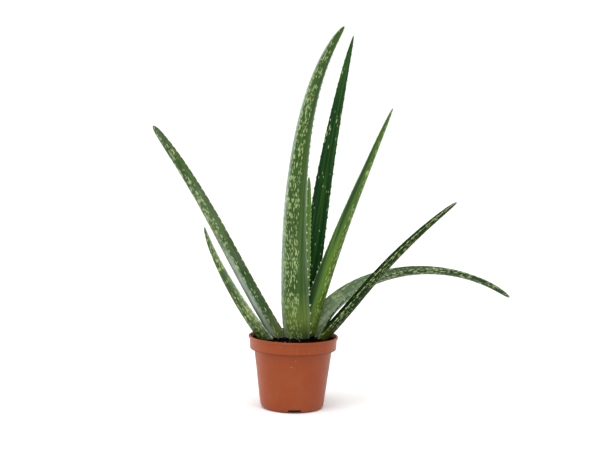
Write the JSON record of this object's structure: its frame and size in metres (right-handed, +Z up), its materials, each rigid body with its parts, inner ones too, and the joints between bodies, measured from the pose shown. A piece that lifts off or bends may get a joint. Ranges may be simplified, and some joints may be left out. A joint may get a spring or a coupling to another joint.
{
  "type": "potted aloe plant",
  "caption": "Young potted aloe vera: a sparse rosette of long, toothed, pale-flecked succulent leaves rising from potting mix in a round terracotta-coloured plastic grower's pot.",
  "frame": {"origin": "middle of the pot's underside, where it stands", "axes": "+Z up along the pot's axis; the camera side of the plant, with the broad upright leaf, looks along -Y, and the arched leaf reaches along +X"},
  "size_m": [0.482, 0.1288, 0.508],
  "materials": {
    "pot_plastic": "satin",
    "potting_mix": "matte",
    "stem_tissue": "matte",
    "young_leaf_skin": "satin",
    "leaf_skin": "satin"
  },
  "bodies": {
    "root": {"pot": "pot_plastic", "soil": "potting_mix", "stem": "stem_tissue", "leaf_young_centre": "young_leaf_skin", "leaf_back_tall": "leaf_skin", "leaf_front_tall": "leaf_skin", "leaf_right_upright": "leaf_skin", "leaf_left_long": "leaf_skin", "leaf_right_arched": "leaf_skin", "leaf_left_short": "leaf_skin", "leaf_right_curved": "leaf_skin"}
  },
  "joints": []
}
